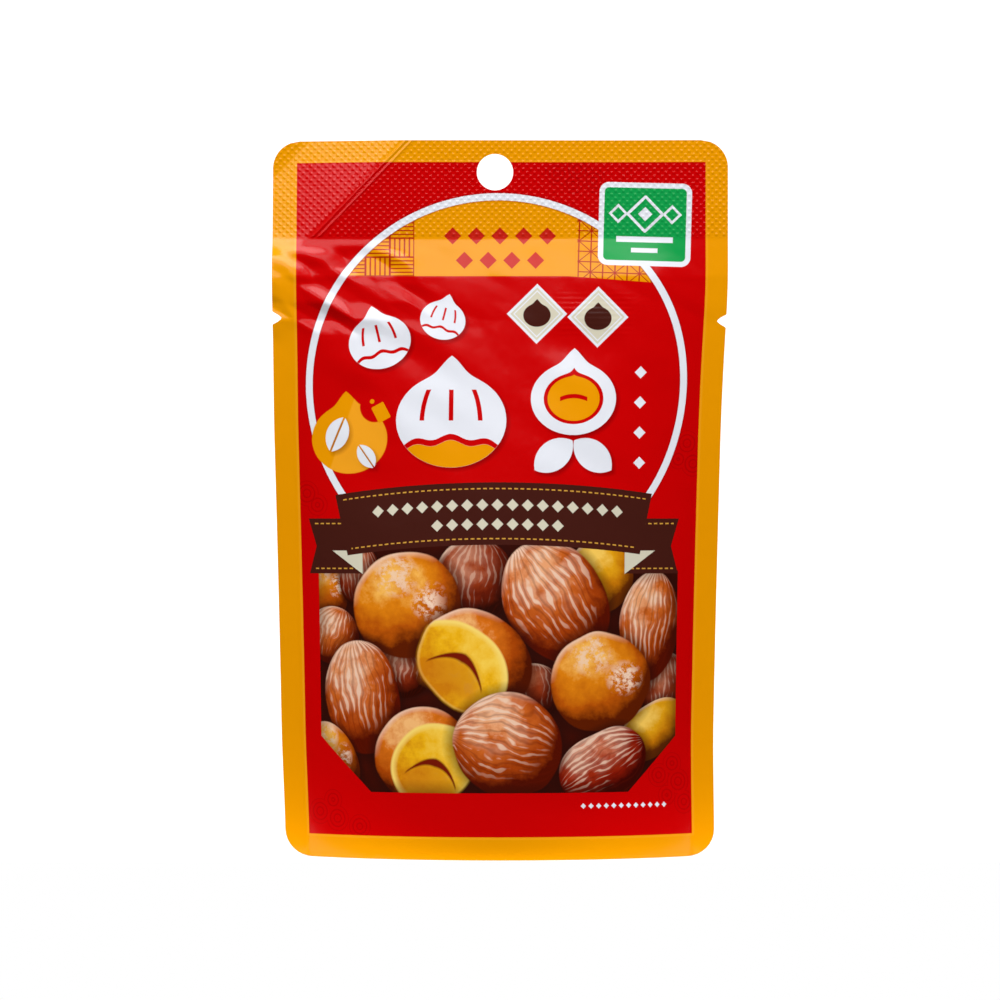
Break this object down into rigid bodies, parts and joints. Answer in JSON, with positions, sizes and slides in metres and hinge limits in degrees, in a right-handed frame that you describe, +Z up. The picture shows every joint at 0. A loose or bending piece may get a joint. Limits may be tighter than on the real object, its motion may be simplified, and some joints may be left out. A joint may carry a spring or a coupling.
{
  "type": "stand-up pouch of roasted chestnuts",
  "caption": "Shut printed stand-up pouch of peeled roasted chestnuts, with a sealed top, a hang hole, tear notches and an opened bottom gusset.",
  "frame": {"origin": "middle of the pouch's footprint, on the surface that it stands on", "axes": "+Z up, +X to the right along the pouch's width, and the printed front looks along -Y"},
  "size_m": [0.1, 0.0292, 0.157],
  "materials": {
    "film": "glossy printed laminate"
  },
  "bodies": {
    "root": {"pouch": "film"}
  },
  "joints": []
}
